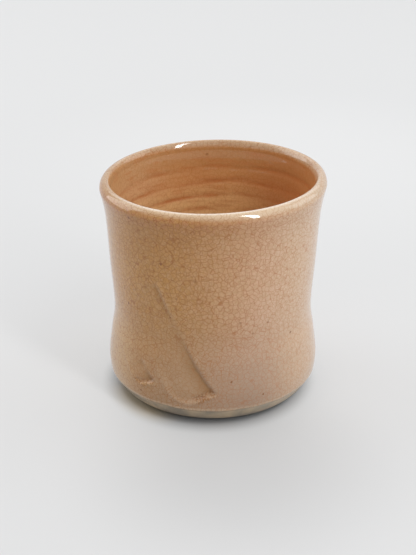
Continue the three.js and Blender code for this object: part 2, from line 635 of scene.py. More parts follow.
@dataclass(frozen=True)
class Throwing:
    """How the cup was thrown and dipped: the rules that move every point of its half sections."""

    rim_height: float
    lip_radius: float
    girth: float
    glaze_line: float
    rim_slant: float = 0.88 * MM
    rim_high_turn: float = math.radians(117)
    wobble: float = 0.10 * MM
    lump_size: float = 26 * MM
    steady_height: float = 12 * MM
    pole_radius: float = 0.2 * MM
    weld: float = 0.001 * MM
    spokes: int = 440

    # The wandering glaze line.
    glaze_wave: float = 0.55 * MM
    wave_length: float = 11 * MM
    wave_foot: float = 1.2 * MM
    wave_reach: float = 5 * MM

    # The spiral of finger grooves inside.
    ring_pitch: float = 4.2 * MM
    ring_depth: float = 0.22 * MM
    ring_sharpness: float = 3.0
    ring_top: float = 58.5 * MM
    ring_top_fade: float = 4 * MM
    ring_bottom: float = 12.0 * MM
    ring_bottom_fade: float = 8 * MM
    back_groove: float = 46.6 * MM
    groove_turns: float = 0.5
    drift_grain: float = 0.9
    drift_per_ring: float = 0.45
    drift_turns: float = 0.55
    faint_grain: float = 0.5
    faint_per_ring: float = 0.8
    faint: Ramp = Ramp(0.34, 0.62)
    faint_share: Share = Share(0.25, 0.9)

    def sweep_tree(self) -> bpy.types.NodeTree:
        """Geometry Nodes that sweep a section round the axis and shape it.

        Returns:
            The tree, whose incoming geometry is the section as a curve of radius, height and skin.
        """
        g = NodeGroup("Thrown skin", "GeometryNodeTree")
        section = g.takes("Section", "Geometry")
        spokes = g.takes("Spokes", "Int", self.spokes)
        material = g.takes("Material", "Material")
        slant = g.takes("Rim Slant", value=self.rim_slant)
        high_turn = g.takes("Rim High Turn", value=self.rim_high_turn)
        rim = g.takes("Rim Height", value=self.rim_height)
        glaze_line = g.takes("Glaze Line", value=self.glaze_line)
        wave = g.takes("Glaze Wave", value=self.glaze_wave)
        lip = g.takes("Lip Radius", value=self.lip_radius)
        girth = g.takes("Girth", value=self.girth)
        pitch = g.takes("Ring Pitch", value=self.ring_pitch)
        ring_depth = g.takes("Ring Depth", value=self.ring_depth)
        wobble = g.takes("Wobble", value=self.wobble)

        mesh = self.swept(g, section, spokes)
        radius, height, skin = g.split(self.read(g, "section", "FLOAT_VECTOR"))
        turn = self.read(g, "spoke", "FLOAT") / self.as_number(g, spokes) * math.tau - math.pi
        outside = g.highest(skin, 0.0)
        inside = g.highest(skin * -1.0, 0.0)
        around = g.joined(g.math("SINE", turn), g.math("COSINE", turn) * -1.0, 0.0)

        press, *marks = self.strokes(g, turn, height, girth)
        groove = self.rings(g, turn, height, pitch) * inside
        ring = g.scaled(around, girth)
        lumps = g.noise(g.vector("ADD", ring, g.joined(0.0, 0.0, height)), self.lump_size)
        sway = self.either_way(lumps) * wobble * g.ease(height, 0.0, self.steady_height)
        moved = radius - press * outside + groove * ring_depth + sway
        moved = g.highest(moved, 0.0) * g.ease(radius, 0.0, self.pole_radius)
        above = g.ease(height, glaze_line + self.wave_reach, glaze_line)
        near_line = g.ease(height, self.wave_foot, glaze_line) * above
        dipped = self.either_way(g.noise(ring, self.wave_length)) * wave * near_line * (1.0 - inside)
        share = height / rim
        lift = slant * g.math("COSINE", turn - high_turn) * share * share * (moved / lip)
        place = g.vector("ADD", g.scaled(around, moved), g.joined(0.0, 0.0, height + lift + dipped))

        stored = {name.lower(): mark * outside for name, mark in zip(StrokeRule.marks, marks)}
        for name, value in {**stored, "groove": groove, "inside": inside}.items():
            mesh = self.store(g, mesh, name, value)
        placed = g.out(g.node("GeometryNodeSetPosition", Geometry=mesh, Position=place), "Geometry")
        for name in ("section", "spoke"):
            node = g.node("GeometryNodeRemoveAttribute", Geometry=placed)
            node.inputs["Name"].default_value = name
            placed = g.out(node, "Geometry")
        whole = g.out(g.node("GeometryNodeMergeByDistance", Geometry=placed, Distance=self.weld), "Geometry")
        smooth = g.out(g.node("GeometryNodeSetShadeSmooth", Geometry=whole), "Geometry")
        real = g.out(g.node("GeometryNodeRealizeInstances", Geometry=smooth), "Geometry")
        dressed = g.node("GeometryNodeSetMaterial", Geometry=real, Material=material)
        g.gives("Skin", g.out(dressed, "Geometry"), "Geometry")
        return g.tree

    @classmethod
    def swept(cls, g: NodeGroup, section: Field, spokes: Field) -> Field:
        """Carries the section round a circle, with both its own place and the spoke stored.

        Args:
            g: Tree of the sweep.
            section: The section as a curve.
            spokes: How many places round the circle it stops at.

        Returns:
            The swept mesh.
        """
        own_place = g.out(g.node("GeometryNodeInputPosition"), "Position")
        kept = cls.store(g, section, "section", own_place, "FLOAT_VECTOR")
        circle = g.node("GeometryNodeCurvePrimitiveCircle", {"mode": "RADIUS"}, Resolution=spokes)
        index = g.out(g.node("GeometryNodeInputIndex"), "Index")
        sweep = g.node("GeometryNodeCurveToMesh")
        g.feed(sweep.inputs["Curve"], cls.store(g, g.out(circle, "Curve"), "spoke", index))
        g.feed(sweep.inputs["Profile Curve"], kept)
        return g.out(sweep, "Mesh")

    @staticmethod
    def store(g: NodeGroup, shape: Field, name: str, value: Field, kind: str = "FLOAT") -> Field:
        """Stores a field on the points of a shape.

        Args:
            g: Tree of the sweep.
            shape: The shape to store it on.
            name: Name of the attribute.
            value: The field.
            kind: Blender's name for the type of the attribute.

        Returns:
            The shape with the attribute.
        """
        on_points = {"data_type": kind, "domain": "POINT"}
        node = g.node("GeometryNodeStoreNamedAttribute", on_points, Geometry=shape)
        node.inputs["Name"].default_value = name
        g.feed(g.socket_named(node, "Value"), value)
        return g.out(node, "Geometry")

    @staticmethod
    def read(g: NodeGroup, name: str, kind: str) -> Field:
        """Reads a stored attribute.

        Args:
            g: Tree that reads it.
            name: Name of the attribute.
            kind: Blender's name for its type of data.

        Returns:
            The attribute as a field.
        """
        node = g.node("GeometryNodeInputNamedAttribute", {"data_type": kind})
        node.inputs["Name"].default_value = name
        return g.out(node, "Attribute")

    @staticmethod
    def as_number(g: NodeGroup, count: Field) -> Field:
        """A whole number read as a plain one."""
        return g.math("ADD", count, 0.0)

    @staticmethod
    def either_way(noise: Field) -> Field:
        """Noise that is 0 on average, from about -1 to 1."""
        return (noise - 0.5) * 2.0

    @staticmethod
    def strokes(g: NodeGroup, turn: Field, height: Field, girth: Field) -> list[Field]:
        """Adds up all spatula strokes.

        Args:
            g: Tree of the sweep.
            turn: Turn of a point from the front.
            height: Its height.
            girth: Radius at which the wall is unrolled.

        Returns:
            How deep the wall is pressed, and then each mark.
        """
        tree = StrokeRule().tree()
        totals: list[Field] = []
        for stroke in STROKES:
            node = g.group(tree, Turn=turn, Height=height, Girth=girth, **stroke.inputs())
            found = [g.out(node, name) for name in ("Press", *StrokeRule.marks)]
            totals = [a + b for a, b in zip(totals, found)] if totals else found
        return totals

    def rings(self, g: NodeGroup, turn: Field, height: Field, pitch: Field) -> Field:
        """Winds the spiral of finger grooves inside.

        Args:
            g: Tree of the sweep.
            turn: Turn of a point from the front.
            height: Its height.
            pitch: Height of one groove.

        Returns:
            How deep a point lies in a groove, from 0 to about 1.
        """
        side, front, level = g.math("SINE", turn), g.math("COSINE", turn), height / pitch
        drift = g.noise(g.joined(side, front, level * self.drift_per_ring), self.drift_grain, detail=1.0)
        turns = turn / math.tau + self.groove_turns + (drift - 0.5) * self.drift_turns
        phase = (height - self.back_groove) / pitch + turns
        wave = g.math("COSINE", phase * math.tau) * 0.5 + 0.5
        faint = g.noise(g.joined(side, front, level * self.faint_per_ring), self.faint_grain)
        strength = self.faint_share.of(self.faint.of(g, faint))
        above = g.ease(height, self.ring_bottom, self.ring_bottom + self.ring_bottom_fade)
        below = g.ease(height, self.ring_top, self.ring_top - self.ring_top_fade)
        return g.math("POWER", wave, self.ring_sharpness) * strength * above * below


def curve_through(stations: Sequence[tuple[float, float]], steps: int = SPAN_STEPS) -> np.ndarray:
    """Points on a smooth curve through stations.

    Args:
        stations: Radius and height of each station.
        steps: Points in each span.

    Returns:
        Array of radius and height, with both ends.
    """
    p = np.array([stations[0], *stations, stations[-1]], float)
    t = np.linspace(0.0, 1.0, steps, endpoint=False)[:, None]
    spans = []
    for a, b, c, d in zip(p, p[1:], p[2:], p[3:]):
        spans.append(
            0.5 * (2 * b + (c - a) * t + (2 * a - 5 * b + 4 * c - d) * t**2 + (3 * b - a - 3 * c + d) * t**3)
        )
    return np.vstack([*spans, p[-1]])


def quarter(
    centre: tuple[float, float],
    reach: float,
    rise: float,
    start_deg: float,
    turn_deg: float = 90.0,
) -> np.ndarray:
    """Points on part of an ellipse.

    Args:
        centre: Radius and height of its centre.
        reach: Half width.
        rise: Half height.
        start_deg: Angle of the first point.
        turn_deg: Angle to the last point.

    Returns:
        Array of radius and height.
    """
    angle = np.radians(np.linspace(start_deg, start_deg + turn_deg, ARC_POINTS))
    return np.column_stack([centre[0] + reach * np.cos(angle), centre[1] + rise * np.sin(angle)])


def spaced(line: np.ndarray, step: float) -> np.ndarray:
    """The same line with points at an even step.

    Args:
        line: Array of radius and height.
        step: Distance between points, met as closely as the length allows.

    Returns:
        The line's points, with both ends.
    """
    gaps = np.hypot(*np.diff(line, axis=0).T)
    run = np.concatenate([[0.0], np.cumsum(gaps)])
    wanted = np.linspace(0.0, run[-1], max(2, round(run[-1] / step) + 1))
    return np.column_stack([np.interp(wanted, run, line[:, 0]), np.interp(wanted, run, line[:, 1])])


@dataclass(frozen=True)
class CupSection:
    """Half section of the cup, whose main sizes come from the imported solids."""

    lip_radius: float
    rim_height: float
    glaze_line: float
    lap_height: float
    floor_height: float
    foot_height: float = 0.95 * MM
    lip_outer_reach: float = 1.9 * MM
    lip_outer_drop: float = 2.4 * MM
    lip_inner_reach: float = 1.25 * MM
    lip_inner_drop: float = 2.6 * MM
    flare_radius: float = 29.7 * MM
    flare_drop: float = 9.7 * MM
    waist_radius: float = 28.0 * MM
    waist_height: float = 25.5 * MM
    belly_radius: float = 29.9 * MM
    belly_height: float = 10.5 * MM
    line_radius: float = 29.6 * MM
    wall_at_flare: float = 3.1 * MM
    wall_at_waist: float = 3.8 * MM
    wall_at_belly: float = 6.1 * MM
    cove_radius: float = 8.0 * MM
    coat: float = 0.5 * MM
    edge_roll: float = 0.9 * MM
    edge_thinning: float = 0.75
    slant_at_crest: float = 0.94
    turn_radius: float = 25.7 * MM
    band_bulge: float = 0.4 * MM
    band_points: int = 25
    foot_radius: float = 22.5 * MM
    foot_width: float = 4.0 * MM
    foot_hollow: float = 1.6 * MM
    foot_round: float = 0.45 * MM
    hollow_slope: float = 0.99 * MM
    fine: float = 0.45 * MM
    lip_fine: float = 0.3 * MM
    well_fine: float = 0.54 * MM
    hidden: float = 1.5 * MM
    lip_hidden: float = 0.5 * MM

    @classmethod
    def from_frame(cls, slant: float) -> CupSection:
        """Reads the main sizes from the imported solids.

        Args:
            slant: How far the rim rises at its high side.

        Returns:
            The section.
        """
        dipped_low, dipped_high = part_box("outer_glaze")
        poured_low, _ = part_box("inner_glaze")
        rim = dipped_high.z - slant * cls.slant_at_crest
        return cls(
            lip_radius=dipped_high.x,
            rim_height=rim,
            glaze_line=dipped_low.z,
            lap_height=rim - cls.flare_drop,
            floor_height=poured_low.z + cls.coat,
        )

    def outside(self, inset: float) -> np.ndarray:
        """Draws the outside wall.

        Args:
            inset: How far it lies inside the face of the glaze.

        Returns:
            The line from the glaze line to the lip.
        """
        line = np.array([self.line_radius - inset, self.glaze_line])
        belly = np.array([self.belly_radius - inset, self.belly_height])
        waist = np.array([self.waist_radius - inset, self.waist_height])
        flare = np.array([self.flare_radius - inset, self.rim_height - self.flare_drop])
        lip = np.array([self.lip_radius - inset, self.rim_height - self.lip_outer_drop])
        return curve_through([line, belly, (belly + waist) / 2, waist, (waist + flare) / 2, flare, lip])

    def lip(self, inset: float) -> np.ndarray:
        """Draws the lip.

        Args:
            inset: How far it lies inside the face of the glaze.

        Returns:
            The line from the top of the outside wall to the top of the inside wall.
        """
        crest = self.lip_radius - self.lip_outer_reach
        outer = quarter(
            (crest, self.rim_height - self.lip_outer_drop),
            self.lip_outer_reach - inset,
            self.lip_outer_drop - inset,
            0.0,
        )
        inner = quarter(
            (crest, self.rim_height - self.lip_inner_drop),
            self.lip_inner_reach - inset,
            self.lip_inner_drop - inset,
            90.0,
        )
        return np.vstack([outer[1:], inner[1:]])

    def inside(self, inset: float) -> tuple[np.ndarray, np.ndarray]:
        """Draws the inside.

        Args:
            inset: How far it lies behind the face of the glaze.

        Returns:
            The wall above the lap, and the line from the lap to the middle of the floor.
        """
        mouth = (
            self.lip_radius - self.lip_outer_reach - self.lip_inner_reach + inset,
            self.rim_height - self.lip_inner_drop,
        )
        lap = (self.flare_radius - self.wall_at_flare + inset, self.lap_height)
        waist = (self.waist_radius - self.wall_at_waist + inset, self.waist_height)
        base_radius = self.belly_radius - self.wall_at_belly
        base_height = self.floor_height + self.cove_radius
        wall = curve_through([mouth, lap, waist, (base_radius + inset, base_height)])
        rounding = self.cove_radius + inset
        cove = quarter((base_radius - self.cove_radius, base_height), rounding, rounding, 0.0, -90.0)
        floor = np.array([[0.0, self.floor_height - inset]])
        return wall[1 : SPAN_STEPS + 1], np.vstack([wall[SPAN_STEPS:], cove[1:], floor])

    def underside(self) -> np.ndarray:
        """Draws the bare clay.

        Returns:
            The line from the axis, over the foot ring and up the band to the glaze line.
        """
        turn = np.array([self.turn_radius, self.foot_height])
        line = np.array([self.line_radius - self.coat, self.glaze_line])
        chord = line - turn
        outward = np.array([chord[1], -chord[0]]) / np.hypot(*chord)
        t = np.linspace(0.0, 1.0, self.band_points)[:, None]
        control = (turn + line) / 2 + 2 * self.band_bulge * outward
        band = (1 - t) ** 2 * turn + 2 * t * (1 - t) * control + t**2 * line
        inner = self.foot_radius - self.foot_width
        r = self.foot_round
        ring = np.vstack(
            [
                [[0.0, self.foot_hollow], [inner - self.hollow_slope, self.foot_hollow]],
                quarter((inner + r, r), r, r, 180.0),
                quarter((self.foot_radius - r, r), r, r, 270.0),
                [[self.foot_radius + r, self.foot_height]],
            ]
        )
        return np.vstack([ring, band])


@dataclass
class CupPiece:
    """A piece of the cup: one swept section with its finish."""

    name: str
    node: str
    slot: Slot
    section: CupSection
    throwing: Throwing
    sharp_angle: float = math.radians(48)
    shape: bpy.types.Object | None = field(default=None, init=False)

    def profile(self) -> tuple[np.ndarray, bool]:
        """The section's points as radius, height and skin, and whether they close on themselves."""
        raise NotImplementedError

    @staticmethod
    def on(line: np.ndarray, skin: Skin) -> np.ndarray:
        """A line of radius and height with its skin added."""
        return np.column_stack([line, np.full(len(line), skin.value)])

    def build(self, tree: bpy.types.NodeTree, material: bpy.types.Material) -> None:
        """Sweeps the section and keeps the result as a plain mesh.

        Args:
            tree: Geometry Nodes of the sweep.
            material: Finish of the piece.
        """
        points, closed = self.profile()
        curve = bpy.data.curves.new(f"{self.name}_section", "CURVE")
        curve.dimensions = "3D"
        spline = curve.splines.new("POLY")
        spline.points.add(len(points) - 1)
        spline.points.foreach_set("co", np.column_stack([points, np.ones(len(points))]).ravel())
        spline.use_cyclic_u = closed
        holder = bpy.data.objects.new(f"{self.name}_section", curve)
        bpy.context.scene.collection.objects.link(holder)
        sweep = holder.modifiers.new("sweep", "NODES")
        sweep.node_group = tree
        sockets = {item.name: item.identifier for item in tree.interface.items_tree if item.in_out == "INPUT"}
        sweep[sockets["Spokes"]] = self.throwing.spokes
        sweep[sockets["Material"]] = material
        graph = bpy.context.evaluated_depsgraph_get()
        mesh = bpy.data.meshes.new_from_object(
            holder.evaluated_get(graph), preserve_all_data_layers=True, depsgraph=graph
        )
        holder.modifiers.remove(sweep)
        bpy.data.objects.remove(holder)
        bpy.data.curves.remove(curve)
        mesh.name = self.name
        mesh.set_sharp_from_angle(angle=self.sharp_angle)
        self.shape = bpy.data.objects.new(self.name, mesh)
        bpy.context.scene.collection.objects.link(self.shape)

    def seat(self) -> None:
        """Sets the piece in place of its solid and reports it."""
        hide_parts(self.node)
        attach(self.shape, "root")
        faces = len(self.shape.data.polygons)
        LOG.info("%s stands for %s with %d faces", self.name, self.node, faces)


class ThrownClay(CupPiece):
    """The clay: underside, foot ring and bare band, and the wall under both coats."""

    def profile(self) -> tuple[np.ndarray, bool]:
        """Draws the clay's half section.

        Returns:
            The line from the middle of the underside to the middle of the floor inside, and that it is open.
        """
        s = self.section
        above, below = s.inside(s.coat)
        return np.vstack(
            [
                self.on(spaced(s.underside(), s.fine), Skin.PLAIN)[:-1],
                self.on(spaced(s.outside(s.coat), s.hidden), Skin.OUTSIDE),
                self.on(spaced(s.lip(s.coat), s.lip_hidden), Skin.PLAIN),
                self.on(spaced(above, s.hidden), Skin.INSIDE),
                self.on(spaced(below, s.hidden), Skin.INSIDE)[1:],
            ]
        ), False


class DippedCoat(CupPiece):
    """The coat that the cup was dipped in: outside, over the lip and down to the lap."""

    def profile(self) -> tuple[np.ndarray, bool]:
        """Draws the dipped coat's half section.

        Returns:
            Its face from the glaze line to the lap, then back along the clay, and that the line closes.
        """
        s = self.section
        above, _ = s.inside(0.0)
        clay_above, _ = s.inside(s.coat)
        wall = s.outside(0.0)
        thin = np.clip((wall[:, 1] - s.glaze_line) / s.edge_roll, 0.0, 1.0)
        wall[:, 0] -= s.coat * s.edge_thinning * (1.0 - np.sqrt(1.0 - (1.0 - thin) ** 2))
        back = np.vstack(
            [
                self.on(spaced(s.outside(s.coat), s.hidden), Skin.OUTSIDE),
                self.on(spaced(s.lip(s.coat), s.lip_hidden), Skin.PLAIN),
                self.on(spaced(clay_above, s.hidden), Skin.INSIDE),
            ]
        )
        return np.vstack(
            [
                self.on(spaced(wall, s.fine), Skin.OUTSIDE),
                self.on(spaced(s.lip(0.0), s.lip_fine), Skin.PLAIN),
                self.on(spaced(above, s.fine), Skin.INSIDE),
                back[::-1],
            ]
        ), True


class PouredCoat(CupPiece):
    """The coat poured inside, from the lap to the floor."""

    def profile(self) -> tuple[np.ndarray, bool]:
        """Draws the poured coat's half section.

        Returns:
            The line from the middle of the clay floor up to the lap, then down the coat's face, and that
            it is open.
        """
        s = self.section
        _, below = s.inside(0.0)
        _, clay_below = s.inside(s.coat)
        return np.vstack(
            [
                self.on(spaced(clay_below, s.hidden), Skin.INSIDE)[::-1],
                self.on(spaced(below, s.well_fine), Skin.INSIDE),
            ]
        ), False


@dataclass(frozen=True)
class Speck:
    """An iron speck that has bled through the glaze.

    The turn is in degrees and lengths are in millimetres.
    """

    turn: float
    height: float
    radius: float
    size: float
    strength: float = 0.90

    def centre(self) -> Vector:
        """Where it lies, in metres."""
        t = math.radians(self.turn)
        return Vector((self.radius * math.sin(t), -self.radius * math.cos(t), self.height)) * MM


SPECKS = (
    Speck(-44.5, 58.4, 30.76, 0.56, 1.0),
    Speck(-27.1, 47.3, 29.34, 0.50, 1.0),
    Speck(-53.3, 31.8, 28.32, 0.56, 1.0),
    Speck(-68.5, 40.8, 28.97, 0.40, 0.60),
    Speck(-19.1, 37.9, 28.77, 0.40, 0.50),
    Speck(-9.0, 43.7, 29.13, 0.80, 0.35),
    Speck(-23.4, 31.8, 28.25, 0.40),
    Speck(14.8, 31.0, 28.26, 0.44, 0.50),
    Speck(22.2, 27.3, 28.04, 0.42, 0.45),
    Speck(31.2, 29.7, 28.15, 0.42, 0.60),
    Speck(48.7, 23.9, 28.06, 0.46),
    Speck(9.8, 14.3, 29.49, 0.42),
    Speck(27.2, 9.2, 29.94, 0.40),
    Speck(-41.1, 8.0, 29.86, 0.40),
    Speck(-176.3, 59.2, 27.54, 0.50, 0.65),
)


@dataclass(frozen=True)
class CrackleRule:
    """How a glaze crazes as it cools: a net of coarse cells with a fainter net of fine ones."""

    wander: float = 0.35 * MM
    wander_grain: float = 1.5 * MM
    unevenness: float = 0.85
    fine_cell: float = 0.55
    core: float = 0.25
    patch_size: float = 9 * MM
    patches: Ramp = Ramp(0.38, 0.62)
    fine_share: Share = Share(0.25, 0.25)

    def tree(self) -> bpy.types.NodeTree:
        """Node group for the crackle.

        Returns:
            A group that gives the crack lines and a tone for each cell between them.
        """
        g = NodeGroup("Crackle", "ShaderNodeTree")
        place = g.takes("Vector", "Vector")
        cell = g.takes("Cell", value=1.5 * MM)
        line = g.takes("Line", value=0.12 * MM)
        wander = g.takes("Wander", value=self.wander)
        stray = g.noise(place, self.wander_grain, detail=1.0, output="Color")
        drift = g.vector("SUBTRACT", stray, (0.5, 0.5, 0.5))
        bent = g.vector("ADD", place, g.scaled(drift, wander * 2.0))
        coarse = self.cracks(g, bent, cell, line)
        fine = self.cracks(g, bent, cell * self.fine_cell, line)
        tone, _, _ = g.split(g.out(self.cells(g, "F1", bent, cell), "Color"))
        patches = self.patches.of(g, g.noise(place, self.patch_size))
        g.gives("Lines", g.highest(coarse, fine * self.fine_share.of(patches)))
        g.gives("Tone", tone)
        return g.tree

    def cells(self, g: NodeGroup, feature: str, place: Field, size: Field) -> bpy.types.Node:
        """Adds Voronoi cells of a size.

        Args:
            g: Tree of the crackle.
            feature: Blender's name for what is measured.
            place: Place on the cup.
            size: Width of a cell.

        Returns:
            The node.
        """
        node = g.node("ShaderNodeTexVoronoi", {"feature": feature}, Vector=place, Randomness=self.unevenness)
        g.feed(node.inputs["Scale"], g.math("DIVIDE", 1.0, size))
        return node

    def cracks(self, g: NodeGroup, place: Field, size: Field, line: Field) -> Field:
        """Crack lines round cells of a size."""
        distance = g.out(self.cells(g, "DISTANCE_TO_EDGE", place, size), "Distance") * size
        return g.ease(distance, line, line * self.core)


def speck_group() -> bpy.types.NodeTree:
    """Node group for one speck with a bled edge.

    Returns:
        A group that gives how much of the speck shows.
    """
    bleed, core, ragged_share, ragged_grain = 1.05, 0.35, 0.8, 0.5 * MM
    g = NodeGroup("Iron speck", "ShaderNodeTree")
    place = g.takes("Vector", "Vector")
    centre = g.takes("Centre", "Vector")
    size = g.takes("Size", value=0.4 * MM)
    ragged = (g.noise(place, ragged_grain) - 0.5) * size * ragged_share
    g.gives("Mask", g.ease(g.vector("DISTANCE", place, centre) + ragged, size * bleed, size * core))
    return g.tree


def scatter_group() -> bpy.types.NodeTree:
    """Node group for fine specks scattered through a body or glaze.

    Returns:
        A group that gives where the specks show.
    """
    least, spread, core = 0.4, 0.8, 0.4
    g = NodeGroup("Scattered specks", "ShaderNodeTree")
    place = g.takes("Vector", "Vector")
    spacing = g.takes("Spacing", value=3 * MM)
    size = g.takes("Size", value=0.2 * MM)
    share = g.takes("Share", value=0.3)
    node = g.node("ShaderNodeTexVoronoi", {"feature": "F1"}, Vector=place)
    g.feed(node.inputs["Scale"], g.math("DIVIDE", 1.0, spacing))
    pick, large, _ = g.split(g.out(node, "Color"))
    reach = size * (large * spread + least)
    shown = g.ease(g.out(node, "Distance") * spacing, reach, reach * core)
    g.gives("Mask", shown * g.math("LESS_THAN", pick, share))
    return g.tree


@dataclass(frozen=True)
class Scatter:
    """Fine specks scattered through a body or glaze, in metres, and how strongly they show."""

    spacing: float
    size: float
    share: float
    strength: float

    def shown(self, g: Graph, tree: bpy.types.NodeTree, place: Field) -> tuple[Field, Field]:
        """Scatters the specks.

        Args:
            g: Tree of the material.
            tree: The group that scatters them.
            place: Place on the cup.

        Returns:
            Where they lie, and the share of the colour that they take there.
        """
        node = g.group(tree, Vector=place, Spacing=self.spacing, Size=self.size, Share=self.share)
        mask = g.out(node, "Mask")
        return mask, mask * self.strength


@dataclass(frozen=True)
class GlazePlace:
    """Where a point of the glaze lies and what the coat is like there, as fields of the material."""

    spot: Field
    across: Field
    depth: Field
    height: Field
    radius: Field
    facing: Field
    cloud: Field
    blush_and_right_light: Field
    within: Field
    lit_front: Field
    lip: Field
    low: Field
    mottle: Field
    grit: Field
    lines: Field
    tone: Field


@dataclass(frozen=True)
class GlazeFinish:
    """Glossy crackled glaze over iron-bearing stoneware.

    Grains and other plain sizes are in metres, and ramps and bands over lengths are in millimetres.
    """

    tan: Colour = (0.572, 0.264, 0.042, 1.0)
    pink: Colour = (0.80, 0.520, 0.375, 1.0)
    lit_right_cream: Colour = (0.72, 0.530, 0.340, 1.0)
    pale: Colour = (0.77, 0.585, 0.395, 1.0)
    beige: Colour = (0.50, 0.440, 0.330, 1.0)
    crest_highlight: Colour = (0.84, 0.760, 0.640, 1.0)
    ochre: Colour = (0.43, 0.220, 0.040, 1.0)
    crack: Colour = (0.35, 0.105, 0.004, 1.0)
    flushed: Colour = (0.48, 0.130, 0.012, 1.0)
    iron: Colour = (0.26, 0.082, 0.010, 1.0)
    pooled: Colour = (0.48, 0.285, 0.130, 1.0)
    lower_dark: Colour = (0.385, 0.265, 0.182, 1.0)
    deep: Colour = (0.33, 0.160, 0.050, 1.0)
    orange: Colour = (0.61, 0.298, 0.118, 1.0)
    groove: Colour = (0.50, 0.180, 0.060, 1.0)
    lit_honey: Colour = (0.87, 0.620, 0.300, 1.0)

    # Masks that several layers read: clouds, the pink on the front right that is partly the glaze's own and
    # partly painted light, the lip with painted light at its front, and the lower wall.
    cloud_grain: float = 12 * MM
    front: Ramp = Ramp(20, -20)
    blush_and_light_across: float = 15.0
    blush_fall: float = 2.5
    blush_cloud: float = 0.08
    blush_and_right_light: Ramp = Ramp(-0.34, 0.33)
    lip_top: Ramp = Ramp(60.4, 62.2)
    # Painted light: the lip and the hem are paler towards the front.
    lip_lit_front: Ramp = Ramp(-14, -28)
    lip_share: Share = Share(0.38, 0.52)
    under_lip: Ramp = Ramp(62.2, 60.4)
    lap_wander: float = 2 * MM
    lip_inner: Ramp = Ramp(29.4, 29.0)
    lip_from: Ramp = Ramp(57, 58.5)
    low: Ramp = Ramp(33, 14)

    # Grain and mottling of the ground.
    mottle_grain: float = 1.0 * MM
    mottle: Ramp = Ramp(0.35, 0.70)
    mottle_share: float = 0.12
    tone_share: float = 0.10
    fine_grain: float = 0.45 * MM
    fine_pale: Ramp = Ramp(0.45, 0.75)
    fine_pale_share: Share = Share(0.16, 0.14)
    fine_dark: Ramp = Ramp(0.50, 0.25)
    fine_dark_share: Share = Share(0.14, 0.20)
    ochre_grain: float = 1.1 * MM
    ochre_patches: Ramp = Ramp(0.36, 0.70)
    ochre_share: Share = Share(0.36, -0.22)
    # Painted light: a paler front right side.
    lit_right_side: Ramp = Ramp(8, 24)
    lit_right_share: float = 0.70

    # Layers down the outside wall, and a painted highlight on the crest of the lip.
    # Darker towards the belly and the bottom of the outside wall.
    belly: Ramp = Ramp(38, 9)
    belly_across: Ramp = Ramp(27, 9)
    belly_share: Share = Share(0.34, 0.56)
    low_darkening: float = 0.22
    low_deep: float = 0.18
    flank: Ramp = Ramp(30, 20)
    flank_tan: Ramp = Ramp(-14, -19)
    flank_tan_share: float = 0.17
    # Painted light: a paler left edge on the lower wall.
    lit_left_edge: Ramp = Ramp(-19, -25)
    lit_left_edge_share: float = 0.20
    shoulder: Ramp = Ramp(38, 54)
    shoulder_left: Ramp = Ramp(-8, -18)
    shoulder_share: float = 0.24
    drained: Band = Band(Ramp(56, 59.5), Ramp(61.6, 60.2))
    drained_share: Share = Share(0.66, -0.62)
    high: Ramp = Ramp(42, 58)
    high_share: float = 0.16
    hem: Ramp = Ramp(6.6, 5.8)
    hem_share: float = 0.50
    crest: Band = Band(Ramp(30.0, 29.2), Ramp(28.2, 28.7))
    crest_top: Ramp = Ramp(60.5, 61.8)
    crest_highlight_front: Ramp = Ramp(-10, -26)
    crest_highlight_share: Share = Share(0.10, 0.65)

    # Layers inside: the orange, with painted light on the left and low down, and painted shade on the right
    # and by the mouth.
    inside_lit_left: Ramp = Ramp(-6, -26)
    inside_share: Share = Share(0.80, -0.25)
    lit_left: Ramp = Ramp(-8, -26)
    lit_left_share: float = 0.30
    lit_low: Ramp = Ramp(53, 43)
    lit_low_share: float = 0.60
    shaded_right: Ramp = Ramp(4, 24)
    shaded_right_share: float = 0.72
    mouth: Ramp = Ramp(51, 59)
    shaded_mouth_share: float = 0.38
    streak_stretch: tuple[float, float, float] = (0.25, 0.25, 1.6)
    streak_grain: float = 1.9 * MM
    flush: Ramp = Ramp(0.52, 0.66)
    flush_share: float = 0.30
    ringed: Ramp = Ramp(0.26, 0.56)
    ringed_share: float = 0.75

    # Layers in the strokes and at their ends.
    grit_grain: float = 0.5 * MM
    pool_share: float = 0.55
    shade_share: float = 0.70
    burr_share: float = 0.20
    crumb_pale: Ramp = Ramp(0.48, 0.58)
    crumb_pale_share: float = 0.30
    crumb_deep: Ramp = Ramp(0.46, 0.36)
    crumb_deep_share: float = 0.75
    pit: Ramp = Ramp(0.56, 0.42)
    pit_share: float = 0.62

    # Crack lines and fine specks.
    cell: float = 1.36 * MM
    line: float = 0.10 * MM
    line_share: float = 0.57
    line_blush_and_light: Share = Share(1.35, -0.50)
    line_inside: Share = Share(1.0, -0.60)
    line_pool: Share = Share(1.0, -0.50)
    line_lip: Share = Share(1.0, -0.60)
    line_low: Share = Share(1.0, -0.25)
    crazed_cloud: float = 0.3
    crazed_across: float = 3.0
    crazed: Ramp = Ramp(-0.25, 0.15)
    crazed_share: Share = Share(0.86, 0.20)
    scatter: Scatter = Scatter(3.4 * MM, 0.16 * MM, 0.16, 0.55)

    # Relief and gloss.
    swell_grain: float = 2.6 * MM
    swell: float = 0.50
    pebble_grain: float = 0.6 * MM
    pebble: float = 0.06
    crack_sink: float = 0.03
    bump_strength: float = 0.35
    bump_height: float = 0.12 * MM
    body_roughness: float = 0.42
    body_specular: float = 0.10
    gloss: float = 0.025
    gloss_ior: float = 1.58
    gloss_inside: float = 0.45
    gloss_shade: float = 0.45
    gloss_crumb: float = 0.70

